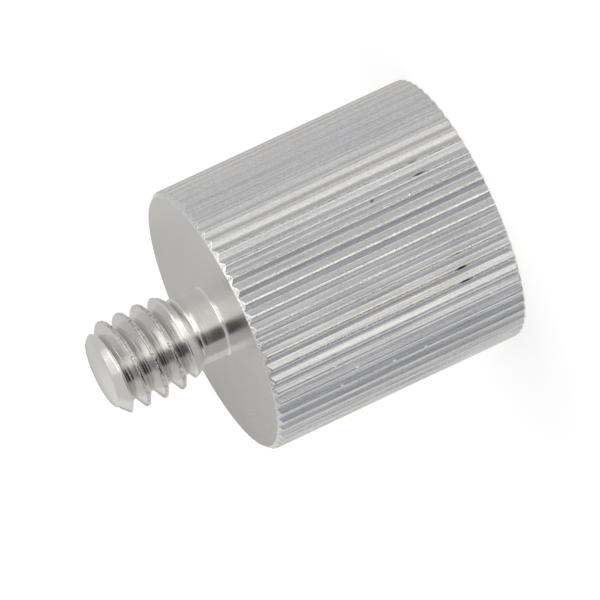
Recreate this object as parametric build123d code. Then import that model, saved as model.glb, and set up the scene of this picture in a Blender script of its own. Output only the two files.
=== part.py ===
from build123d import *
from build123d.topology import SkipClean

import os
from math import ceil, cos, degrees, radians, sin, tan

# Tripod adapter, turned in one piece from bright aluminium bar: a straight-knurled barrel with a
# tapped socket in its open end, and a 1/4"-20 stud with a plain neck on its flat front.
# Millimetres. The origin is the centre of the open end, and +Z runs up the axis to the stud's tip.

INCH = 25.4

# The barrel
BARREL_DIAMETER = 18.0  # over the knurl
BARREL_LENGTH = 17.8
FRONT_CHAMFER = 0.29
REAR_CHAMFER = 0.2

# The straight knurl: rounded teeth side by side, with a V groove between each two
KNURL_TEETH = 60
KNURL_DEPTH = 0.235
KNURL_GROOVE_ANGLE = 114.0  # between the two flanks of a groove
KNURL_CROWN = 0.053  # how far a tooth's rounded top falls from its middle to its flanks
KNURL_TURN = 3.8  # degrees from +X to the first groove

# The stud, 1/4"-20 UNC, and the plain neck that its thread runs out into
STUD_THREADS_PER_INCH = 20
STUD_MAJOR_DIAMETER = 6.2
STUD_LENGTH = 8.1  # from the barrel's front to the tip
STUD_ROOT_WIDTH = 0.24  # across the flat bottom of the thread
STUD_THREAD_TURN = 102.0  # degrees from +X to where the thread begins
NECK_LENGTH = 1.63
NECK_RELIEF = 0.02  # the neck's surface is this far under the thread's root
NECK_FILLET = 0.22
RUN_OUT_ANGLE = 28.0  # of the cone from the neck up to the thread, against the axis
TIP_CHAMFER_ANGLE = 45.0
TIP_RELIEF = 0.18  # the flat tip's edge is this far under the thread's root

# The socket, for 3/8"-16 UNC, at the size that it is drilled to before it is tapped
SOCKET_THREADS_PER_INCH = 16
SOCKET_MAJOR_DIAMETER = 0.375 * INCH
COUNTERSINK_ANGLE = 90.0
COUNTERSINK_MARGIN = 0.3  # the mouth's edge is this far outside the thread
DRILL_POINT_ANGLE = 118.0
FLOOR_THICKNESS = 5.3  # from the barrel's front to the end of the drill's full width

# An outer thread of this kind has crests an eighth of a pitch wide.
THREAD_ANGLE = 60.0
CREST_SHARE = 1 / 8
# The stud's round is drawn as this many arcs, so that a crest is a row of short cylinder faces.
STUD_ARCS = 12
# A cutting tool reaches this far past what it cuts.
TOOL_REACH = 0.15


def polar(radius, angle):
    """The point at this radius and this many degrees from +X."""
    return radius * cos(radians(angle)), radius * sin(radians(angle))


def turned(*profile):
    """The solid of a closed outline turned about Z. In it, X is the radius and Y the height."""
    return revolve(Plane.XZ * make_face(profile), Axis.Z)


def knurled_barrel():
    """The bar of the barrel, knurled from end to end, with a chamfer at each end."""
    radius = BARREL_DIAMETER / 2
    shoulder_radius = radius - KNURL_CROWN
    root_radius = radius - KNURL_DEPTH
    groove_half_width = (KNURL_DEPTH - KNURL_CROWN) * tan(radians(KNURL_GROOVE_ANGLE / 2))
    shoulder_angle = degrees(groove_half_width / shoulder_radius)
    tooth_angle = 360 / KNURL_TEETH
    outline = []
    for tooth in range(KNURL_TEETH):
        start = KNURL_TURN + tooth * tooth_angle
        end = start + tooth_angle
        first_shoulder = polar(shoulder_radius, start + shoulder_angle)
        last_shoulder = polar(shoulder_radius, end - shoulder_angle)
        crown = polar(radius, (start + end) / 2)
        outline.append(Line(polar(root_radius, start), first_shoulder))
        outline.append(ThreePointArc(first_shoulder, crown, last_shoulder))
        outline.append(Line(last_shoulder, polar(root_radius, end)))
    bar = turned(
        Polyline(
            (0, 0),
            (radius - REAR_CHAMFER, 0),
            (radius, REAR_CHAMFER),
            (radius, BARREL_LENGTH - FRONT_CHAMFER),
            (radius - FRONT_CHAMFER, BARREL_LENGTH),
            (0, BARREL_LENGTH),
            close=True,
        )
    )
    return extrude(make_face(outline), BARREL_LENGTH) & bar


def socket():
    """What the drill and the countersink take out of the open end."""
    radius = (SOCKET_MAJOR_DIAMETER - INCH / SOCKET_THREADS_PER_INCH) / 2
    depth = BARREL_LENGTH - FLOOR_THICKNESS
    point = radius / tan(radians(DRILL_POINT_ANGLE / 2))
    mouth_radius = SOCKET_MAJOR_DIAMETER / 2 + COUNTERSINK_MARGIN
    slope = tan(radians(COUNTERSINK_ANGLE / 2))
    return turned(
        Polyline(
            (0, -TOOL_REACH),
            (mouth_radius + TOOL_REACH * slope, -TOOL_REACH),
            (radius, (mouth_radius - radius) / slope),
            (radius, depth),
            (0, depth + point),
            close=True,
        )
    )


def stud():
    """The threaded stud with its neck, standing on the plane of the barrel's front."""
    pitch = INCH / STUD_THREADS_PER_INCH
    major_radius = STUD_MAJOR_DIAMETER / 2
    half_groove = pitch * (1 - CREST_SHARE) / 2
    flank = tan(radians(THREAD_ANGLE / 2))
    root_radius = major_radius - (half_groove - STUD_ROOT_WIDTH / 2) / flank
    neck_radius = root_radius - NECK_RELIEF
    tip_radius = root_radius - TIP_RELIEF

    # The turning and the thread's tool both reach past the crests, the tool by so little that its
    # turns stay apart.
    half_tool = half_groove + pitch * CREST_SHARE / 4
    outer_radius = major_radius + (half_tool - half_groove) / flank
    run_out = (outer_radius - neck_radius) / tan(radians(RUN_OUT_ANGLE))
    tip_chamfer = (outer_radius - tip_radius) / tan(radians(TIP_CHAMFER_ANGLE))
    foot_radius = neck_radius + NECK_FILLET
    turning = turned(
        Line((0, 0), (foot_radius, 0)),
        RadiusArc((foot_radius, 0), (neck_radius, NECK_FILLET), NECK_FILLET),
        Polyline(
            (neck_radius, NECK_FILLET),
            (neck_radius, NECK_LENGTH),
            (outer_radius, NECK_LENGTH + run_out),
            (outer_radius, STUD_LENGTH - tip_chamfer),
            (tip_radius, STUD_LENGTH),
            (0, STUD_LENGTH),
            (0, 0),
        ),
    )
    arc_angle = 360 / STUD_ARCS
    outline = [
        ThreePointArc(*(polar(major_radius, (arc + share) * arc_angle) for share in (0, 0.5, 1)))
        for arc in range(STUD_ARCS)
    ]
    bar = extrude(make_face(outline), STUD_LENGTH, clean=False)

    section = make_face(
        Polyline(
            (outer_radius, -half_tool),
            (root_radius, -STUD_ROOT_WIDTH / 2),
            (root_radius, STUD_ROOT_WIDTH / 2),
            (outer_radius, half_tool),
            close=True,
        )
    )
    # The groove is cut turn by turn, from just over the neck to past the tip.
    turn = sweep(Plane.XZ * section, Helix(pitch, pitch, outer_radius), is_frenet=True)
    start = NECK_LENGTH - half_tool
    turns = ceil((STUD_LENGTH + half_tool - start) / pitch)
    groove = [Pos(0, 0, start + number * pitch) * turn for number in range(turns)]
    return Rot(0, 0, STUD_THREAD_TURN) * ((bar & turning) - groove)


# Cleaning would join the short crest faces into long helical ones.
with SkipClean():
    adapter_body = knurled_barrel() - socket() + Pos(0, 0, BARREL_LENGTH) * stud()

os.makedirs("parts", exist_ok=True)
export_step(adapter_body, "parts/adapter_body.step")
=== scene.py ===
from math import cos, pi, radians, sin, tan

import bmesh
import bpy
import numpy as np
from mathutils import Matrix, Vector


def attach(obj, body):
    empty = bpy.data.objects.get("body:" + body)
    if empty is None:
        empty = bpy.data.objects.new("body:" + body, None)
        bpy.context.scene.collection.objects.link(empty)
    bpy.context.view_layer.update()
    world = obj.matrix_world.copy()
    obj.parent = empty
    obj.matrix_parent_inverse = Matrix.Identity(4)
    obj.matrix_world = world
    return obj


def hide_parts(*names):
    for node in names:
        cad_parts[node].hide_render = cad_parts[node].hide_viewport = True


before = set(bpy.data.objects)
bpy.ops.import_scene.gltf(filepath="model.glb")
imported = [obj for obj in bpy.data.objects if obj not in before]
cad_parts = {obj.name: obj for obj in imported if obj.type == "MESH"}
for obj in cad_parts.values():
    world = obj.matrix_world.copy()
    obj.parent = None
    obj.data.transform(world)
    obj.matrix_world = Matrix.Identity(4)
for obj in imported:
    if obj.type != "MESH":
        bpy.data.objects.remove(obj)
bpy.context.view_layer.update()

# The straight knurl of the barrel. A toothed wheel rolls it into the turned aluminium bar, which pushes
# the metal up into rounded crests with V grooves between them. The front end is broken with a chamfer,
# and the rear end with a rounding.
MM = 0.001  # the scene is in metres, and every length below is in mm
ROUND = 2 * pi
BARREL_RADIUS = 8.998  # over the crests
BARREL_LENGTH = 17.8
TEETH = 60
FIRST_CREST = radians(0.8)  # from +X
FIRST_ANGLE = FIRST_CREST - pi / TEETH
TOOTH_DEPTH = 0.233
CROWN_RADIUS = 0.6
CROWN_HALF_WIDTH = 0.115
FLANK_SLOPE = radians(34.0)
GROOVE_SOFTNESS = 0.03
UNEVENNESS = 0.006
SLOW_WAVES = 7  # of unevenness, round the barrel
QUICK_WAVES = 23
QUICK_CLIMB = 0.35  # how far the quick waves turn with each mm of height, in radians
FRONT_CHAMFER = 0.29
REAR_ROUND_CREST = 0.2
REAR_ROUND_GROOVE = 0.07
EDGE_BREAK = 0.022
RIM_REACH = 4 * EDGE_BREAK  # how far the rim goes on past its broken edges
# Where a tooth's columns stand, as shares of its width. Every third one is also a column of the stud,
# and every sixth one of the socket.
TOOTH_COLUMNS = (0, 0.04, 0.09, 0.33, 0.378, 0.43, 0.5, 0.57, 0.622, 0.67, 0.91, 0.96)
SIDE_ROWS = 18
QUARTER_ROUND = np.linspace(0, pi / 2, 7)


def soft_max(a, b, width):
    """The larger of two values, with a rounding where they meet: half of the sum of a, b and the square
    root of (a - b) squared plus the width squared."""
    return (a + b + np.sqrt((a - b) ** 2 + width**2)) / 2


def soft_min(a, b, width):
    """The smaller of two values, rounded in the same way."""
    return -soft_max(-a, -b, width)


def mix(a, b, share):
    """The value at this share of the way from a to b."""
    return a + (b - a) * share


def tooth_radius(angle, height):
    """The knurl's radius. Across a tooth it is the arc of its crown, then a straight flank, then a softened
    floor. A slow and a quick sine of the angle make the rolled teeth a few micrometres uneven: the slow one
    is given half of the unevenness, the quick one 0.3 of it, and both together never lift a tooth."""
    turn = (angle - FIRST_CREST) * TEETH / ROUND
    across = np.abs(turn - np.round(turn)) * ROUND * BARREL_RADIUS / TEETH
    on_arc = np.minimum(across, CROWN_HALF_WIDTH)
    arc_fall = CROWN_RADIUS - np.sqrt(CROWN_RADIUS**2 - on_arc**2)
    flank_fall = np.maximum(across - CROWN_HALF_WIDTH, 0) * tan(FLANK_SLOPE)
    slow = 0.5 * np.sin(SLOW_WAVES * angle + 0.6)
    quick = 0.3 * np.sin(QUICK_WAVES * angle + QUICK_CLIMB * height)
    fall = arc_fall + flank_fall - UNEVENNESS * (slow + quick - 0.8)
    return BARREL_RADIUS - soft_min(fall, TOOTH_DEPTH, GROOVE_SOFTNESS)


def eased(path, reach):
    """A path of (radius, height) rows with its inner corners broken. Each corner becomes five rows: one at
    twice the reach before it, three on the parabola that touches both of its sides, and one after it."""
    rows = [path[0]]
    for before, corner, after in zip(path, path[1:], path[2:]):
        into = (before - corner) / np.linalg.norm(before - corner, axis=0)
        out = (after - corner) / np.linalg.norm(after - corner, axis=0)
        near, far = corner + into * reach, corner + out * reach
        middle = (near + 2 * corner + far) / 4
        rows += [corner + 2 * into * reach, near, middle, far, corner + 2 * out * reach]
    return np.array(rows + [path[-1]])


def turned(radius, height, angle):
    """Points on the round at these radii, heights and angles, as an array of rows by columns by three."""
    radius, height, angle = np.broadcast_arrays(radius, height, angle)
    return np.stack((radius * np.cos(angle), radius * np.sin(angle), height), axis=-1)


def sheet(points):
    """The points of a grid, and two triangles for each of its cells."""
    rows, columns = points.shape[:2]
    index = np.arange(rows * columns).reshape(rows, columns)
    a, b, c, d = index[:-1, :-1], index[1:, :-1], index[1:, 1:], index[:-1, 1:]
    halves = [np.stack(corners, -1).reshape(-1, 3) for corners in ((a, b, c), (a, c, d))]
    return points.reshape(-1, 3), np.concatenate(halves)


tooth_starts = np.arange(TEETH)[:, None] + np.array(TOOTH_COLUMNS)
knurl_angles = FIRST_ANGLE + np.append(tooth_starts.ravel(), TEETH) * ROUND / TEETH
level = np.ones_like(knurl_angles)

# The rim and the chamfer, as radius and height for each column
top_radius = BARREL_RADIUS - FRONT_CHAMFER
rim_inner = top_radius - RIM_REACH
front_radius = tooth_radius(knurl_angles, BARREL_LENGTH)
front_height = BARREL_LENGTH - (front_radius - top_radius)
rim_corners = [
    [rim_inner * level, BARREL_LENGTH * level],
    [top_radius * level, BARREL_LENGTH * level],
    [front_radius, front_height],
    [front_radius, front_height - RIM_REACH],
]
rim = eased(np.array(rim_corners), EDGE_BREAK)
# A quarter round at the rear end of each tooth, largest on the crest
rear_radius = tooth_radius(knurl_angles, 0.0)
crestness = (rear_radius - BARREL_RADIUS + TOOTH_DEPTH) / TOOTH_DEPTH
rear_round = mix(REAR_ROUND_GROOVE, REAR_ROUND_CREST, crestness)
bend = QUARTER_ROUND[:, None]
rear = np.stack(
    (rear_radius - rear_round * (1 - np.cos(bend)), rear_round * (1 - np.sin(bend))), axis=1
)
# The teeth from the chamfer to the rounding
share = np.linspace(0, 1, SIDE_ROWS)[:, None]
side_height = mix(rim[-1, 1], rear_round, share)
side = np.stack((tooth_radius(knurl_angles, side_height), side_height), axis=1)
side[0, 0] = rim[-1, 0]
side[-1, 0] = rear_radius
barrel_path = np.concatenate((rim, side[1:], rear[1:]))
barrel = sheet(turned(barrel_path[:, 0], barrel_path[:, 1], knurl_angles))

# The front face and the rear face. They are faced flat on the lathe, and are plain rings. The outer part
# of each has the knurl's columns, and a narrow ring of fans leads to the fewer columns of the inner part.
FACE_RING = 8.3
FRONT_FANS_END = FACE_RING - 0.4
REAR_FANS_END = FACE_RING - 0.6
STUD_COLUMN_STEP = 3
SOCKET_COLUMN_STEP = 6


def spun(path, angles, base=0.0):
    """The sheet of a path of (radius, height) rows carried round the axis, with heights from this base."""
    path = np.array(path)
    return sheet(turned(path[:, :1], base + path[:, 1:], angles))


def fans(inner_radius, outer_radius, height, step):
    """A flat ring whose outer edge has all of the knurl's columns and whose inner edge has one in so many.
    Each inner cell is joined to its outer points by one fan from its first point and one from its last."""
    fine = turned(outer_radius, height, knurl_angles)
    coarse = turned(inner_radius, height, knurl_angles[::step])
    cells = np.arange(len(coarse) - 1)[:, None]
    outer = cells * step + np.arange(step + 1)
    first, last = len(fine) + cells, len(fine) + cells + 1
    half = (step + 1) // 2
    triangles = [
        np.stack(np.broadcast_arrays(first, outer[:, :half], outer[:, 1 : half + 1]), -1),
        np.stack(np.broadcast_arrays(last, outer[:, half:-1], outer[:, half + 1 :]), -1),
        np.stack((first, outer[:, half : half + 1], last), -1),
    ]
    return np.concatenate((fine, coarse)), np.concatenate([part.reshape(-1, 3) for part in triangles])


def reversed_faces(patch):
    """The same patch with its triangles turned over."""
    points, triangles = patch
    return points, triangles[:, ::-1]


stud_angles = knurl_angles[::STUD_COLUMN_STEP]
socket_angles = knurl_angles[::SOCKET_COLUMN_STEP]
front_outer = spun([[FACE_RING, 0], [rim_inner, 0]], knurl_angles, BARREL_LENGTH)
front_fans = fans(FRONT_FANS_END, FACE_RING, BARREL_LENGTH, STUD_COLUMN_STEP)
rear_outer = sheet(turned(np.stack((rear[-1, 0], FACE_RING * level)), 0.0, knurl_angles))
rear_fans = reversed_faces(fans(REAR_FANS_END, FACE_RING, 0.0, SOCKET_COLUMN_STEP))

# The stud. A die cuts its 1/4"-20 thread down to the cone that it runs out into, over a plain neck with
# a small fillet at its foot. The tip is chamfered, and its face is a low dome with a wide soft edge.
STUD_PITCH = 1.27
STUD_RADIUS = 3.1
STUD_LENGTH = 8.1
STUD_GROOVE_AT = 0.675  # the height of a groove's middle over the front face, on the +X side
ROOT_RADIUS = 2.3455
ROOT_HALF_WIDTH = 0.12
ROOT_SOFTNESS = 0.05
CREST_HALF_WIDTH = STUD_PITCH / 16
CREST_HOLLOW = 0.005
CREST_SOFTNESS = 0.014
NECK_RADIUS = 2.3255
NECK_LENGTH = 1.63
NECK_FILLET = 0.15
RUN_OUT = radians(28.0)
TIP_RADIUS = 2.1655
TIP_SOFTNESS = 0.03
TIP_BREAK = 0.7
TIP_DOME = 0.07
TIP_EDGE_END = 0.1  # how far down the chamfer the tip's soft edge ends
THREAD_END = STUD_LENGTH - 0.2
FLANK_RISE = 1 / tan(radians(30.0))
# The mesh's rows across half a pitch, from a groove's middle to a crest's, and its rings on the flats
STUD_ROWS = (0, 0.07, 0.115, 0.15, 0.2, 0.28, 0.37, 0.46, 0.52, 0.548, 0.572, 0.6)
FACE_RADII = (2.6, 2.75, 3.2, 4.0, 5.0, 6.0, 7.0)
TIP_RADII = (0, 0.1, 0.4, 0.7, 1.0, 1.25)
NECK_ROWS = 6
TIP_EDGE_ROWS = 8


def helical_rows(half_rows, pitch):
    """The rows of one pitch of a thread, from its groove's middle up to the next groove's."""
    half_rows = np.array(half_rows)
    return np.concatenate((half_rows, [pitch / 2], pitch - half_rows[:0:-1]))


def helical_heights(half_rows, pitch, groove_at, low, high, angles):
    """Heights of a thread's rows at each angle, from high to low. Every row climbs one pitch a turn, so its
    end meets the start of the row that lies a pitch above it. Rows stop at the two rings that bound them."""
    first = int(np.floor((low - groove_at) / pitch)) - 1
    last = int(np.ceil((high - groove_at) / pitch)) + 1
    rows = [helical_rows(half_rows, pitch) + turn * pitch for turn in range(first, last)]
    heights = groove_at + np.concatenate(rows)[::-1, None] + pitch * angles / ROUND
    heights = np.clip(heights, low, high)
    used = (heights.max(axis=1) > low) & (heights.min(axis=1) < high)
    used[:-1] |= used[1:]
    used[1:] |= used[:-1]
    return heights[used]


def groove_distance(height, angle, pitch, groove_at):
    """How far a point lies from the middle of the nearest groove, along the axis."""
    turn = (height - groove_at) / pitch - angle / ROUND
    return np.abs(turn - np.round(turn)) * pitch


def stud_radius(height, angle):
    """The stud's radius over the front face: straight flanks at 30 degrees between a rounded root and a
    crest with a slight hollow, and never outside the run-out cone or the tip's chamfer."""
    distance = groove_distance(height, angle, STUD_PITCH, STUD_GROOVE_AT)
    flank = ROOT_RADIUS + (distance - ROOT_HALF_WIDTH) * FLANK_RISE
    hollow = np.maximum(0, 1 - ((STUD_PITCH / 2 - distance) / CREST_HALF_WIDTH) ** 2)
    crest = STUD_RADIUS - CREST_HOLLOW * hollow
    thread = soft_min(soft_max(flank, ROOT_RADIUS, ROOT_SOFTNESS), crest, CREST_SOFTNESS)
    run_out = NECK_RADIUS + (height - NECK_LENGTH) * tan(RUN_OUT)
    chamfer = TIP_RADIUS + STUD_LENGTH - height
    return np.minimum(np.minimum(thread, run_out), soft_min(thread, chamfer, TIP_SOFTNESS))


def tip_height(radius):
    """The tip's height over the front face. It is a low dome: it falls with the square of the radius."""
    return STUD_LENGTH - TIP_DOME * (radius / TIP_RADIUS) ** 2


thread_heights = helical_heights(
    STUD_ROWS, STUD_PITCH, STUD_GROOVE_AT, NECK_LENGTH, THREAD_END, stud_angles
)
thread_end_radius = TIP_RADIUS + STUD_LENGTH - THREAD_END
thread_radii = stud_radius(thread_heights, stud_angles)
thread_radii[thread_heights <= NECK_LENGTH] = NECK_RADIUS
thread_radii[thread_heights >= THREAD_END] = thread_end_radius
thread = sheet(turned(thread_radii, BARREL_LENGTH + thread_heights, stud_angles))

# The tip's soft edge is a parabola from the dome to the chamfer
dome_end = TIP_RADIUS - TIP_BREAK
edge_start = np.array([dome_end, tip_height(dome_end)])
edge_corner = np.array([TIP_RADIUS + TIP_DOME, STUD_LENGTH - TIP_DOME])
edge_end = edge_corner + (TIP_EDGE_END, -TIP_EDGE_END)
bend = np.linspace(0, 1, TIP_EDGE_ROWS)[:, None]
tip_edge = (1 - bend) ** 2 * edge_start + 2 * bend * (1 - bend) * edge_corner + bend**2 * edge_end
dome = [[r, tip_height(r)] for r in TIP_RADII]
tip_path = np.concatenate((dome, tip_edge, [[thread_end_radius, THREAD_END]]))
tip = spun(tip_path, stud_angles, BARREL_LENGTH)

neck_path = [[NECK_RADIUS, h] for h in np.linspace(NECK_LENGTH, NECK_FILLET, NECK_ROWS)[:-1]]
fillet_radii = NECK_RADIUS + NECK_FILLET * (1 - np.cos(QUARTER_ROUND))
fillet_path = np.stack((fillet_radii, NECK_FILLET * (1 - np.sin(QUARTER_ROUND))), axis=1)
foot = spun(np.concatenate((neck_path, fillet_path)), stud_angles, BARREL_LENGTH)
face_path = [[r, 0] for r in (NECK_RADIUS + NECK_FILLET, *FACE_RADII, FRONT_FANS_END)]
front_inner = spun(face_path, stud_angles, BARREL_LENGTH)

# The socket in the open end. It is drilled, countersunk and tapped 3/8"-16, and the tap stops short of
# the drill's end.
SOCKET_PITCH = 25.4 / 16
SOCKET_BORE = 3.96875
SOCKET_MAJOR = 4.7625
MAJOR_SOFTNESS = 0.04
BORE_SOFTNESS = 0.02
MOUTH_RADIUS = 5.0625
MOUTH_BREAK = 0.03
TAP_START = 0.25
TAP_END = 10.9
TAP_LEAD = 1.6
DRILL_DEPTH = 12.5
DRILL_POINT = 2.3847
SOCKET_ROWS = (0, 0.06, 0.1, 0.14, 0.25, 0.4, 0.52, 0.57, 0.62)
BORE_ROWS = (TAP_END, 11.7, DRILL_DEPTH - 0.05)
POINT_CORNER = (SOCKET_BORE - 0.03, DRILL_DEPTH + 0.02)  # where the drill's worn corner ends
POINT_RADII = (SOCKET_BORE / 2, 0.2, 0)


def socket_radius(height, angle):
    """The socket's radius: a thread cut into the bore, which fades over the tap's lead, and the
    countersink at 45 degrees."""
    distance = groove_distance(height, angle, SOCKET_PITCH, 0)
    flank = SOCKET_MAJOR - (distance - SOCKET_PITCH / 16) * FLANK_RISE
    cut = soft_min(flank, SOCKET_MAJOR, MAJOR_SOFTNESS)
    fade = np.clip((TAP_END - height) / TAP_LEAD, 0, 1)
    cut = np.minimum(cut, SOCKET_BORE + (SOCKET_MAJOR - SOCKET_BORE) * fade)
    return np.maximum(soft_max(cut, SOCKET_BORE, BORE_SOFTNESS * fade), MOUTH_RADIUS - height)


tap_heights = helical_heights(SOCKET_ROWS, SOCKET_PITCH, 0, TAP_START, TAP_END, socket_angles)[::-1]
tap_radii = socket_radius(tap_heights, socket_angles)
tap_radii[tap_heights <= TAP_START] = MOUTH_RADIUS - TAP_START
tap_radii[tap_heights >= TAP_END] = SOCKET_BORE
tapped = sheet(turned(tap_radii, tap_heights, socket_angles))

# The rear face inside its fans, the countersink, and the bore past the tapped length with its point
mouth_corners = [[REAR_FANS_END, 0], [MOUTH_RADIUS, 0], [MOUTH_RADIUS - TAP_START, TAP_START]]
mouth_path = eased(np.array(mouth_corners)[:, :, None], MOUTH_BREAK)[..., 0]
rear_inner = spun(mouth_path[:2], socket_angles)
mouth = spun(mouth_path[1:], socket_angles)
bore_path = [[SOCKET_BORE, h] for h in BORE_ROWS]
point_path = [[r, DRILL_DEPTH + DRILL_POINT * (1 - r / SOCKET_BORE)] for r in POINT_RADII]
bottom = spun([*bore_path, POINT_CORNER, *point_path], socket_angles)

# The whole adapter, which is one piece of metal. Its patches are joined into one closed mesh, and each
# keeps the finish of the tool that made it.
FINISHES = ("knurled", "faced", "threaded", "bored")
PATCHES = (
    (barrel, "knurled"),
    (front_outer, "faced"),
    (front_fans, "faced"),
    (front_inner, "faced"),
    (rear_outer, "faced"),
    (rear_fans, "faced"),
    (rear_inner, "faced"),
    (foot, "threaded"),
    (thread, "threaded"),
    (tip, "threaded"),
    (mouth, "bored"),
    (tapped, "bored"),
    (bottom, "bored"),
)
MEETING = 0.0002  # points this close are one


def joined(name, patches):
    """One object from all patches, with a material number on each face, and its meeting points made one."""
    starts = np.cumsum([0] + [len(points) for (points, _), _ in patches])
    points = np.concatenate([points for (points, _), _ in patches]) * MM
    triangles = np.concatenate([found + start for ((_, found), _), start in zip(patches, starts)])
    numbers = [np.full(len(found), FINISHES.index(finish)) for (_, found), finish in patches]
    mesh = bpy.data.meshes.new(name)
    mesh.vertices.add(len(points))
    mesh.vertices.foreach_set("co", points.ravel())
    mesh.loops.add(3 * len(triangles))
    mesh.loops.foreach_set("vertex_index", triangles.ravel())
    mesh.polygons.add(len(triangles))
    mesh.polygons.foreach_set("loop_start", np.arange(0, 3 * len(triangles), 3))
    mesh.polygons.foreach_set("material_index", np.concatenate(numbers))
    mesh.update(calc_edges=True)
    shell = bmesh.new()
    shell.from_mesh(mesh)
    bmesh.ops.remove_doubles(shell, verts=shell.verts, dist=MEETING * MM)
    shell.to_mesh(mesh)
    shell.free()
    mesh.shade_smooth()
    piece = bpy.data.objects.new(name, mesh)
    bpy.context.scene.collection.objects.link(piece)
    return piece


adapter = joined("adapter", PATCHES)


def linear(hex_colour):
    """A colour's linear red, green, blue and alpha from its sRGB hex value."""
    values = [int(hex_colour[i : i + 2], 16) / 255 for i in (1, 3, 5)]
    return [v / 12.92 if v <= 0.04045 else ((v + 0.055) / 1.055) ** 2.4 for v in values] + [1.0]


def add(tree, kind, inputs=None, **settings):
    """Adds a shader node of this kind with its settings, and fills or links its inputs."""
    made = tree.nodes.new("ShaderNode" + kind)
    for name, value in settings.items():
        setattr(made, name, value)
    for key, value in (inputs or {}).items():
        if isinstance(value, bpy.types.Node):
            value = value.outputs[0]
        if isinstance(value, bpy.types.NodeSocket):
            tree.links.new(value, made.inputs[key])
        else:
            made.inputs[key].default_value = value
    return made


def bare_metal(name):
    """A new metal, with its node tree and the object's own coordinates in mm."""
    metal = bpy.data.materials.new(name)
    metal.use_nodes = True
    tree = metal.node_tree
    tree.nodes["Principled BSDF"].inputs["Metallic"].default_value = 1.0
    own = add(tree, "TexCoord").outputs["Object"]
    return metal, tree, add(tree, "VectorMath", {0: own, "Scale": 1 / MM}, operation="SCALE")


def finish(piece, metal, colour, rough, height):
    """Links a metal's colour, roughness and height in mm to its shader, and gives it to the piece."""
    tree = metal.node_tree
    shader = tree.nodes["Principled BSDF"]
    bump = add(tree, "Bump", {"Height": height, "Distance": MM})
    for made, name in ((colour, "Base Color"), (rough, "Roughness"), (bump, "Normal")):
        tree.links.new(made.outputs[0], shader.inputs[name])
    piece.data.materials.append(metal)


# Rolled knurl. The wheel drags the metal along the axis, so the flanks are satin with fine streaks that
# way and carry cool and warm grey bands. It burnishes the crowns bright, and on the side facing +X they are
# painted brighter still, as a painted highlight, with painted glints. Where a crown has not quite closed the
# wheel leaves a broken seam along its middle. The floors of the grooves stay duller and rougher.
STREAK_WIDTH = 0.11
BAND_WIDTH = 2.2
STREAK_DRAG = 50  # how many times as long as wide the streaks are
GRAIN_SIZE = 0.07
GRAIN_DRAG = 3
SEAM_SPOT = 0.16
SEAM_DRAG = 2
GLINT_SIZE = 0.1
COOL_FLANK = "#E4E6E8"
WARM_FLANK = "#E9E7E3"
# The crowns' brighter colour: real burnish, and a painted highlight where they face +X
CROWN_BURNISH_AND_HIGHLIGHT_COLOUR = "#F8F8F6"
GROOVE_COLOUR = "#F0F0F1"
SEAM_COLOUR = "#8A8A8C"
# White for the nicks and the crowns' painted glints
NICK_GLINT_COLOUR = "#FFFFFF"
GAP_COLOUR = "#1E1D1C"
SPECK_COLOUR = "#6E553A"
STREAK_HEIGHT = 0.005
OPEN_MIDDLE = radians(-2.0)
# Where the crown and its seam end and the groove's floor begins, as shares of a tooth's width
CROWN_END = {"From Min": 0.07, "From Max": 0.11}
SEAM_END = {"From Min": 0.012, "From Max": 0.055}
FLOOR_START = {"From Min": 0.2, "From Max": 0.4}
# Where the open and the closed crowns begin, and the burnish with its painted highlight, as cosines of the
# angle from their middle
OPEN_START = {"From Min": 0.84, "From Max": 0.88}
CLOSED_START = {"From Min": 0.966, "From Max": 0.978}
BURNISH_AND_HIGHLIGHT_START = {"From Min": 0.62, "From Max": 0.8}
FALLING = {"To Min": 1.0, "To Max": 0.0}

knurled, tree, place = bare_metal("rolled_knurl_aluminium")
dragged = add(tree, "VectorMath", {0: place, 1: (1, 1, 1 / STREAK_DRAG)}, operation="MULTIPLY")
streak_inputs = {"Vector": dragged, "Scale": 1 / STREAK_WIDTH, "Detail": 3.0, "Roughness": 0.6}
streaks = add(tree, "TexNoise", streak_inputs)
bands = add(tree, "TexNoise", {"Vector": dragged, "Scale": 1 / BAND_WIDTH, "Detail": 2.0})
grain_place = add(tree, "VectorMath", {0: place, 1: (1, 1, 1 / GRAIN_DRAG)}, operation="MULTIPLY")
grain = add(tree, "TexNoise", {"Vector": grain_place, "Scale": 1 / GRAIN_SIZE, "Detail": 1.0})
seam_place = add(tree, "VectorMath", {0: place, 1: (1, 1, 1 / SEAM_DRAG)}, operation="MULTIPLY")
seam_breaks = add(tree, "TexNoise", {"Vector": seam_place, "Scale": 1 / SEAM_SPOT, "Detail": 1.0})
glint_breaks = add(tree, "TexNoise", {"Vector": place, "Scale": 1 / GLINT_SIZE, "Detail": 1.0})

# Where a point lies in its tooth: off_crest is 0 on a crest and 0.5 in a groove
split = add(tree, "SeparateXYZ", {0: place})
angle = add(tree, "Math", {0: split.outputs["Y"], 1: split.outputs["X"]}, operation="ARCTAN2")
first_tooth = 0.5 - FIRST_CREST * TEETH / ROUND
tooth = add(tree, "Math", {0: angle, 1: TEETH / ROUND, 2: first_tooth}, operation="MULTIPLY_ADD")
in_tooth = add(tree, "Math", {0: tooth}, operation="FRACT")
signed = add(tree, "Math", {0: in_tooth, 1: 0.5}, operation="SUBTRACT")
off_crest = add(tree, "Math", {0: signed}, operation="ABSOLUTE")
crown = add(tree, "MapRange", {"Value": off_crest, **CROWN_END, **FALLING})
seam_line = add(tree, "MapRange", {"Value": off_crest, **SEAM_END, **FALLING})
groove = add(tree, "MapRange", {"Value": off_crest, **FLOOR_START})
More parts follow.
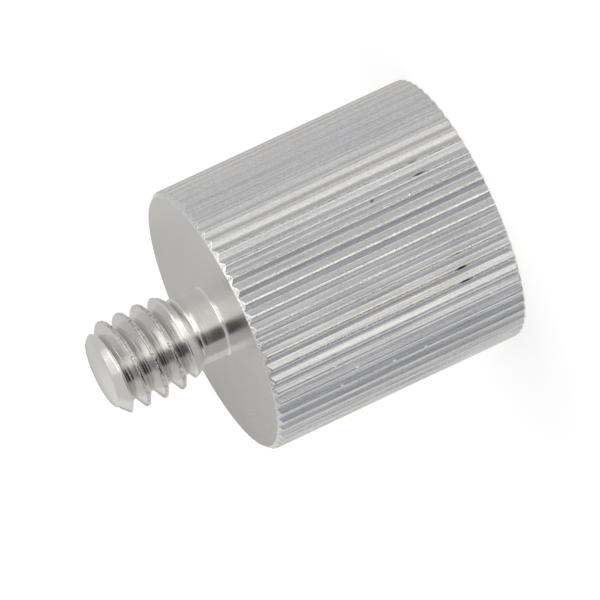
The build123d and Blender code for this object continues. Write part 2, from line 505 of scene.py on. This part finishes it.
# The wheel left the crowns open in two runs of teeth, about 14 to 30 degrees to each side of this middle
flat = add(tree, "VectorMath", {0: place, 1: (1, 1, 0)}, operation="MULTIPLY")
outward = add(tree, "VectorMath", {0: flat}, operation="NORMALIZE")
open_middle = (cos(OPEN_MIDDLE), sin(OPEN_MIDDLE), 0)
facing = add(tree, "VectorMath", {0: outward, 1: open_middle}, operation="DOT_PRODUCT")
facing = facing.outputs["Value"]
within = add(tree, "MapRange", {"Value": facing, **OPEN_START})
closed = add(tree, "MapRange", {"Value": facing, **CLOSED_START})
open_crowns = add(tree, "Math", {0: within, 1: closed}, operation="SUBTRACT", use_clamp=True)
# The crowns near the same middle have the most burnish, with a painted highlight on it, and the wheel left
# deeper streaks towards -Y
burnish_and_highlight_inputs = {"Value": facing, **BURNISH_AND_HIGHLIGHT_START, "To Min": 0.15, "To Max": 0.9}
burnish_and_highlight = add(tree, "MapRange", burnish_and_highlight_inputs)
lean = add(tree, "SeparateXYZ", {0: outward}).outputs["Y"]
deeper = {"From Min": 0.7, "From Max": -0.3, "To Min": 0.35, "To Max": 1.15}
streaky = add(tree, "MapRange", {"Value": lean, **deeper})
# Seams in the open crowns, and painted glints where the noise peaks on the crowns of this side
seam_parts = add(tree, "MapRange", {"Value": seam_breaks, "From Min": 0.42, "From Max": 0.58})
seam = add(tree, "Math", {0: seam_line, 1: seam_parts}, operation="MULTIPLY")
seam = add(tree, "Math", {0: seam, 1: open_crowns}, operation="MULTIPLY")
painted_glints = add(tree, "MapRange", {"Value": glint_breaks, "From Min": 0.6, "From Max": 0.68})
painted_glints = add(tree, "Math", {0: painted_glints, 1: crown}, operation="MULTIPLY")
painted_glints = add(tree, "Math", {0: painted_glints, 1: within}, operation="MULTIPLY")


def blemishes(tree, place, marks):
    """How much a point lies in one of these marks, each an ellipsoid given by its angle in degrees and
    height on the barrel, its width round the barrel, its length along it and its strength."""
    total = 0.0
    for degrees_round, height, width, length, strength in marks:
        turn = radians(degrees_round)
        radius = float(tooth_radius(turn, height))
        at = (radius * cos(turn), radius * sin(turn), height)
        offset = add(tree, "VectorMath", {0: place, 1: at}, operation="SUBTRACT")
        offset = add(tree, "VectorMath", {0: offset, 1: (width, width, length)}, operation="DIVIDE")
        distance = add(tree, "VectorMath", {0: offset}, operation="LENGTH").outputs["Value"]
        soft_edge = {"From Min": 0.5, "From Max": 1.15, "To Min": strength, "To Max": 0.0}
        inside = add(tree, "MapRange", {"Value": distance, **soft_edge})
        total = add(tree, "Math", {0: total, 1: inside}, operation="MAXIMUM")
    return total


# Dark gaps in the seams that one bad tooth of the wheel left, the nicks, which are painted white as glints,
# and the speck of wear
SEAM_GAPS = (
    (19.1, 3.62, 0.075, 0.5, 0.85),
    (25.2, 3.62, 0.06, 0.45, 0.5),
    (-17.2, 3.62, 0.06, 0.45, 0.55),
    (-23.3, 3.62, 0.085, 0.52, 1.0),
    (-29.4, 3.62, 0.075, 0.52, 0.95),
)
NICKS = (
    (-5.3, 9.6, 0.09, 0.1, 1.0),
    (-5.0, 7.22, 0.09, 0.08, 1.0),
    (-11.2, 10.05, 0.1, 0.12, 1.0),
    (13.0, 4.74, 0.1, 0.09, 1.0),
    (-46.4, 11.95, 0.1, 0.1, 1.0),
    (-52.6, 9.45, 0.1, 0.13, 1.0),
    (-52.7, 7.2, 0.08, 0.1, 1.0),
    (-52.4, 13.2, 0.08, 0.1, 1.0),
    (-40.5, 13.4, 0.1, 0.1, 1.0),
    (-40.3, 2.15, 0.1, 0.12, 1.0),
    (-16.6, 2.6, 0.08, 0.07, 1.0),
)
SPECK = ((17.3, 7.15, 0.11, 0.16, 0.75),)
gaps = blemishes(tree, place, SEAM_GAPS)
nicks = blemishes(tree, place, NICKS)
speck = blemishes(tree, place, SPECK)

# The streaks and the grain darken or lighten the metal's colour by this much
tone = add(tree, "Math", {0: streaks, 1: 0.5}, operation="SUBTRACT")
tone = add(tree, "Math", {0: tone, 1: streaky, 2: 1.0}, operation="MULTIPLY_ADD")
tone = add(tree, "Math", {0: grain, 1: 0.5, 2: tone}, operation="MULTIPLY_ADD")
tone = add(tree, "Math", {0: tone, 1: 0.25}, operation="SUBTRACT")
warmth = add(tree, "MapRange", {"Value": bands, "From Min": 0.38, "From Max": 0.62})
# The crowns' share of the brighter colour: burnish, with a painted highlight towards +X
crown_burnish_and_highlight = add(tree, "Math", {0: crown, 1: burnish_and_highlight}, operation="MULTIPLY")
groove_share = add(tree, "Math", {0: groove, 1: 0.8}, operation="MULTIPLY")
colour = linear(COOL_FLANK)
for part, hue in (
    (warmth, WARM_FLANK),
    (crown_burnish_and_highlight, CROWN_BURNISH_AND_HIGHLIGHT_COLOUR),
    (groove_share, GROOVE_COLOUR),
):
    colour = add(tree, "MixRGB", {"Fac": part, "Color1": colour, "Color2": linear(hue)})
colour = add(tree, "VectorMath", {0: colour, "Scale": tone}, operation="SCALE")
seam_share = add(tree, "Math", {0: seam, 1: 0.7}, operation="MULTIPLY")
# Painted glints: white on the crowns of the +X side and on the nicks
bright = add(tree, "Math", {0: painted_glints, 1: 0.8, 2: nicks}, operation="MULTIPLY_ADD", use_clamp=True)
for part, hue in (
    (seam_share, SEAM_COLOUR),
    (bright, NICK_GLINT_COLOUR),
    (gaps, GAP_COLOUR),
    (speck, SPECK_COLOUR),
):
    colour = add(tree, "MixRGB", {"Fac": part, "Color1": colour, "Color2": linear(hue)})

rough = add(tree, "Math", {0: streaks, 1: 0.12, 2: 0.21}, operation="MULTIPLY_ADD")
for part, change in ((groove, 0.05), (crown, -0.13)):
    rough = add(tree, "Math", {0: part, 1: change, 2: rough}, operation="MULTIPLY_ADD")

# How far the streaks, the seams and the marks stand out of the surface, in mm
height = add(tree, "Math", {0: streaks, 1: streaky}, operation="MULTIPLY")
height = add(tree, "Math", {0: grain, 1: 0.6, 2: height}, operation="MULTIPLY_ADD")
height = add(tree, "Math", {0: height, 1: STREAK_HEIGHT}, operation="MULTIPLY")
waver = add(tree, "Math", {0: seam_breaks, 1: crown}, operation="MULTIPLY")
for part, rise in ((waver, 0.012), (seam, -0.012), (nicks, 0.04), (painted_glints, 0.02), (gaps, -0.02)):
    height = add(tree, "Math", {0: part, 1: rise, 2: height}, operation="MULTIPLY_ADD")
finish(adapter, knurled, colour, rough, height)

# Faced flat on the lathe. The tool leaves fine rings, finer than the picture can show, so they are drawn
# 0.12 mm apart. They give the satin grey of the two faces, with a faint cloudiness over it.
RING_PITCH = 0.12
RING_HEIGHT = 0.0015
CLOUD_SIZE = 3.0
FACE_COLOUR = "#E4E3E1"


def off_axis(tree, place):
    """How far a point lies from the axis, in mm: the length of its place with the height left out."""
    flat = add(tree, "VectorMath", {0: place, 1: (1, 1, 0)}, operation="MULTIPLY")
    return add(tree, "VectorMath", {0: flat}, operation="LENGTH").outputs["Value"]


faced, tree, place = bare_metal("faced_aluminium")
ring_inputs = {"W": off_axis(tree, place), "Scale": 1 / RING_PITCH, "Detail": 2.0}
rings = add(tree, "TexNoise", ring_inputs, noise_dimensions="1D")
clouds = add(tree, "TexNoise", {"Vector": place, "Scale": 1 / CLOUD_SIZE, "Detail": 2.0})
tone = add(tree, "Math", {0: rings, 1: 0.1, 2: 0.9}, operation="MULTIPLY_ADD")
tone = add(tree, "Math", {0: clouds, 1: 0.1, 2: tone}, operation="MULTIPLY_ADD")
colour = add(tree, "VectorMath", {0: linear(FACE_COLOUR)[:3], "Scale": tone}, operation="SCALE")
rough = add(tree, "Math", {0: rings, 1: 0.08, 2: 0.2}, operation="MULTIPLY_ADD")
height = add(tree, "Math", {0: rings, 1: RING_HEIGHT}, operation="MULTIPLY")
finish(adapter, faced, colour, rough, height)

# Turned, then cut by a die, which leaves the flanks and the crests nearly polished, with fine lines round
# them. The roots are painted darker, as painted shade, and the crests carry small burrs with painted shade
# between them.
LINE_PITCH = 0.07
LINE_HEIGHT = 0.0015
TORN_SIZE = 0.07
BURR_SIZE = 0.11
BURR_HEIGHT = 0.07
STUD_COLOUR = "#EEEDEB"
# Painted shade: the roots are coloured darker
ROOT_SHADE_COLOUR = "#C0BEBA"
BURR_SHADE = "#706D6A"
# The radii where the root ends and the crest begins, and the heights where the thread begins and ends
ROOT_END = {"From Min": 2.35, "From Max": 2.43}
CREST_START = {"From Min": 3.0, "From Max": 3.07}
RUN_OUT_SPAN = {"From Min": 19.6, "From Max": 19.9}
TIP_SPAN = {"From Min": 25.3, "From Max": 25.5}


def tool_lines(tree, place, pitch, detail):
    """The lines that a cutting tool leaves all round: noise on a point's radius and height."""
    height = add(tree, "SeparateXYZ", {0: place}).outputs["Z"]
    line_place = add(tree, "CombineXYZ", {"X": off_axis(tree, place), "Z": height})
    return add(tree, "TexNoise", {"Vector": line_place, "Scale": 1 / pitch, "Detail": detail})


threaded, tree, place = bare_metal("die_cut_aluminium")
radius = off_axis(tree, place)
along = add(tree, "SeparateXYZ", {0: place}).outputs["Z"]
lines = tool_lines(tree, place, LINE_PITCH, 2.0)
torn = add(tree, "TexNoise", {"Vector": place, "Scale": 1 / TORN_SIZE, "Detail": 1.0})
burr_breaks = add(tree, "TexNoise", {"Vector": place, "Scale": 1 / BURR_SIZE})
tone = add(tree, "Math", {0: lines, 1: 0.16, 2: 0.86}, operation="MULTIPLY_ADD")
tone = add(tree, "Math", {0: torn, 1: 0.12, 2: tone}, operation="MULTIPLY_ADD")
# Painted shade in the root of the thread, between its run-out and its end at the tip
root = add(tree, "MapRange", {"Value": radius, **ROOT_END, **FALLING})
over_neck = add(tree, "MapRange", {"Value": along, **RUN_OUT_SPAN})
at_tip = add(tree, "MapRange", {"Value": along, **TIP_SPAN})
in_thread = add(tree, "Math", {0: over_neck, 1: at_tip}, operation="SUBTRACT")
root = add(tree, "Math", {0: root, 1: in_thread}, operation="MULTIPLY")
# The crests' burrs, where the noise is high, and painted shade in the hollows between them, where it is low
on_crest = add(tree, "MapRange", {"Value": radius, **CREST_START})
burr = add(tree, "MapRange", {"Value": burr_breaks, "From Min": 0.53, "From Max": 0.57})
burr = add(tree, "Math", {0: burr, 1: on_crest}, operation="MULTIPLY")
shade = add(tree, "MapRange", {"Value": burr_breaks, "From Min": 0.45, "From Max": 0.38})
shade = add(tree, "Math", {0: shade, 1: on_crest}, operation="MULTIPLY")
colour = linear(STUD_COLOUR)
for part, hue in ((root, ROOT_SHADE_COLOUR), (shade, BURR_SHADE)):
    colour = add(tree, "MixRGB", {"Fac": part, "Color1": colour, "Color2": linear(hue)})
colour = add(tree, "VectorMath", {0: colour, "Scale": tone}, operation="SCALE")
rough = add(tree, "Math", {0: lines, 1: 0.14, 2: 0.12}, operation="MULTIPLY_ADD")
height = add(tree, "Math", {0: lines, 1: LINE_HEIGHT}, operation="MULTIPLY")
for part, rise in ((torn, LINE_HEIGHT), (burr, BURR_HEIGHT)):
    height = add(tree, "Math", {0: part, 1: rise, 2: height}, operation="MULTIPLY_ADD")
finish(adapter, threaded, colour, rough, height)

# Drilled and tapped. The tools leave rings in the bore, and it is duller than the outside.
BORE_COLOUR = "#D5D4D2"
BORE_RING_HEIGHT = 0.004

bored, tree, place = bare_metal("tapped_aluminium")
lines = tool_lines(tree, place, RING_PITCH, 3.0)
tone = add(tree, "Math", {0: lines, 1: 0.3, 2: 0.85}, operation="MULTIPLY_ADD")
colour = add(tree, "VectorMath", {0: linear(BORE_COLOUR)[:3], "Scale": tone}, operation="SCALE")
rough = add(tree, "Math", {0: lines, 1: 0.15, 2: 0.2}, operation="MULTIPLY_ADD")
height = add(tree, "Math", {0: lines, 1: BORE_RING_HEIGHT}, operation="MULTIPLY")
finish(adapter, bored, colour, rough, height)

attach(adapter, "root")
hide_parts("adapter_body")

# The camera. It looks at the adapter from 14 degrees over its seat, and is rolled so that the stud
# points down to the left.
AXIS_TO_SIGHT = radians(76.31)
ROLL = radians(25.08)
DISTANCE = 681.0
FRAME_WIDTH = 38.12
AIM_RIGHT = 5.55
AIM_UP = 1.395

toward = Vector((sin(AXIS_TO_SIGHT), 0, cos(AXIS_TO_SIGHT)))
along = Vector((-cos(AXIS_TO_SIGHT), 0, sin(AXIS_TO_SIGHT)))
across = Vector((0, 1, 0))
right = -cos(ROLL) * along - sin(ROLL) * across
up = -sin(ROLL) * along + cos(ROLL) * across
aim = Vector((0, 0, BARREL_LENGTH)) + AIM_RIGHT * right + AIM_UP * up
turn = Matrix((right, up, toward)).transposed().to_4x4()

camera = bpy.data.objects.new("camera", bpy.data.cameras.new("camera"))
camera.data.lens = camera.data.sensor_width * DISTANCE / FRAME_WIDTH
camera.matrix_world = Matrix.Translation((aim + DISTANCE * toward) * MM) @ turn
bpy.context.scene.collection.objects.link(camera)
bpy.context.scene.camera = camera

# The studio: a white paper floor that keeps the shadow, and a white world. The metal mirrors the world
# and the cards, and not the floor.
FLOOR_CORNERS = ((-1.5, -1.5, 0), (1.5, -1.5, 0), (1.5, 1.5, 0), (-1.5, 1.5, 0))  # in metres
FLOOR_GLOW = 0.46
PAPER_COLOUR = "#F2F2F2"
WORLD_COLOUR = "#FFFFFF"
WORLD_LIGHT = 0.62


def seen(tree):
    """1 for the rays that see the background: from the camera, off gloss and through glass."""
    rays = add(tree, "LightPath").outputs
    straight = {0: rays["Is Camera Ray"], 1: rays["Is Glossy Ray"]}
    first = add(tree, "Math", straight, operation="ADD")
    through = rays["Is Transmission Ray"]
    return add(tree, "Math", {0: first, 1: through}, operation="ADD", use_clamp=True)


floor_mesh = bpy.data.meshes.new("floor")
floor_mesh.from_pydata(FLOOR_CORNERS, [], [(0, 1, 2, 3)])
floor = bpy.data.objects.new("floor", floor_mesh)
bpy.context.scene.collection.objects.link(floor)
floor.visible_glossy = False
paper = bpy.data.materials.new("white_paper")
paper.use_nodes = True
tree = paper.node_tree
tree.nodes.remove(tree.nodes["Principled BSDF"])
matt = add(tree, "BsdfDiffuse", {"Color": linear(PAPER_COLOUR)})
glow = add(tree, "Math", {0: seen(tree), 1: FLOOR_GLOW}, operation="MULTIPLY")
shine = add(tree, "Emission", {"Strength": glow})
surface = add(tree, "AddShader", {0: matt, 1: shine})
tree.links.new(surface.outputs[0], tree.nodes["Material Output"].inputs["Surface"])
floor_mesh.materials.append(paper)

world = bpy.data.worlds.new("studio")
bpy.context.scene.world = world
world.use_nodes = True
tree = world.node_tree
background = tree.nodes["Background"]
background.inputs["Color"].default_value = linear(WORLD_COLOUR)
strength = add(tree, "MapRange", {"Value": seen(tree), "To Min": WORLD_LIGHT, "To Max": 1.0})
tree.links.new(strength.outputs[0], background.inputs["Strength"])

# Cards for the bright metal to mirror, as a photographer lays them round such a thing. Only gloss sees
# them. Each is a strip from one azimuth to another in degrees, along a path of radius and height in mm:
# large ones all round, a backdrop close behind the stud and two small cards beside it.
ROUND_ABOUT = ((40, -260), (250, -180), (250, 25))
WALL = ((250, 25), (250, 190))
SLOPE = ((250, 190), (250, 230), (150, 370))
CANOPY = ((150, 370), (120, 400), (1, 400))
BACKDROP = ((45, 19), (45, 30))
BACKDROP_TOP = ((45, 30), (45, 35))
BESIDE_STUD = ((12, 18.5), (12, 24.0))
CARD_STEP = 4  # degrees
CARDS = (
    ("bright_strip", -6, 4, ROUND_ABOUT, "#FFFEFB", 1.14),
    ("cream_card_left", 4, 20, ROUND_ABOUT, "#E0DEDB", 1.0),
    ("cream_card_right", -21, -6, ROUND_ABOUT, "#E7E5E2", 1.0),
    ("dim_card_left", 20, 50, ROUND_ABOUT, "#BCBCBE", 1.0),
    ("grey_card_left", 50, 106, ROUND_ABOUT, "#C8C8C8", 1.0),
    ("pale_card_left", 106, 138, ROUND_ABOUT, "#CFCDCA", 1.0),
    ("paler_card_left", 138, 162, ROUND_ABOUT, "#EEE5DD", 1.0),
    ("white_card_behind", 162, 198, ROUND_ABOUT, "#F2EAE3", 1.0),
    ("paler_card_right", 198, 224, ROUND_ABOUT, "#E2DBD3", 1.0),
    ("pale_card_right", 224, 250, ROUND_ABOUT, "#DAD7D3", 1.0),
    ("grey_card_right", 250, 279, ROUND_ABOUT, "#CFCFD0", 1.0),
    ("dim_card_right", 279, 293, ROUND_ABOUT, "#C6C7C8", 1.0),
    ("dark_card_right", 293, 329, ROUND_ABOUT, "#999BA1", 1.0),
    ("middle_card_right", 329, 339, ROUND_ABOUT, "#BBBCBE", 1.0),
    ("wall_front", -25, 46, WALL, "#E6E3E0", 1.0),
    ("wall_front_left", 46, 72, WALL, "#D6D4D2", 1.0),
    ("wall_left", 72, 180, WALL, "#CECECD", 1.0),
    ("wall_behind_right", 180, 250, WALL, "#E0DFDD", 1.0),
    ("wall_right", 250, 335, WALL, "#B8B7B5", 1.0),
    ("front_box", -14, 68, SLOPE, "#FFFDFA", 2.1),
    ("slope", 68, 346, SLOPE, "#CDCCCB", 1.0),
    ("canopy", 0, 360, CANOPY, "#CDCCCB", 1.0),
    ("backdrop_far_left", 158, 170, BACKDROP, "#CDCCCB", 1.0),
    ("backdrop_left", 170, 177, BACKDROP, "#BCBBB9", 1.0),
    ("backdrop_middle", 177, 184, BACKDROP, "#B0AFAD", 1.0),
    ("backdrop_right", 184, 194, BACKDROP, "#A9A7A5", 1.0),
    ("backdrop_far_right", 194, 206, BACKDROP, "#B8B6B4", 1.0),
    ("backdrop_top", 158, 206, BACKDROP_TOP, "#CBC9C7", 1.0),
    ("brown_card", -24, -15, BESIDE_STUD, "#776D66", 1.0),
    ("black_card", -57, -24, BESIDE_STUD, "#18191A", 1.0),
)


def card(name, start, end, path, colour, strength):
    """A card that only gloss sees. The path is carried round the axis from one azimuth to the other."""
    columns = 2 + abs(end - start) // CARD_STEP
    points, triangles = spun(path, np.linspace(radians(start), radians(end), columns))
    mesh = bpy.data.meshes.new(name)
    mesh.from_pydata(points * MM, [], triangles.tolist())
    strip = bpy.data.objects.new(name, mesh)
    strip.visible_camera = strip.visible_diffuse = strip.visible_transmission = False
    strip.visible_volume_scatter = strip.visible_shadow = False
    bpy.context.scene.collection.objects.link(strip)
    paint = bpy.data.materials.new(name)
    paint.use_nodes = True
    tree = paint.node_tree
    tree.nodes.remove(tree.nodes["Principled BSDF"])
    shine = add(tree, "Emission", {"Color": linear(colour), "Strength": strength})
    tree.links.new(shine.outputs[0], tree.nodes["Material Output"].inputs["Surface"])
    mesh.materials.append(paint)


for name, start, end, path, colour, strength in CARDS:
    card(name, start, end, path, colour, strength)

# The lamp. A large soft box high over the adapter lays its faint shadow on the paper.
LAMP_AT = Vector((25, 95, 330)) * MM
LAMP_TARGET = Vector((0, 0, 14)) * MM
LAMP_SIZE = (270, 300)
LAMP_POWER = 0.055
LAMP_COLOUR = "#FFFEFC"

lamp = bpy.data.objects.new("top_box", bpy.data.lights.new("top_box", "AREA"))
lamp.data.shape = "RECTANGLE"
lamp.data.size, lamp.data.size_y = (side * MM for side in LAMP_SIZE)
lamp.data.energy = LAMP_POWER
lamp.data.color = linear(LAMP_COLOUR)[:3]
lamp.visible_camera = False
turn = (LAMP_AT - LAMP_TARGET).to_track_quat("Z", "Y").to_matrix().to_4x4()
lamp.matrix_world = Matrix.Translation(LAMP_AT) @ turn
bpy.context.scene.collection.objects.link(lamp)

bpy.context.scene.view_settings.view_transform = "Standard"
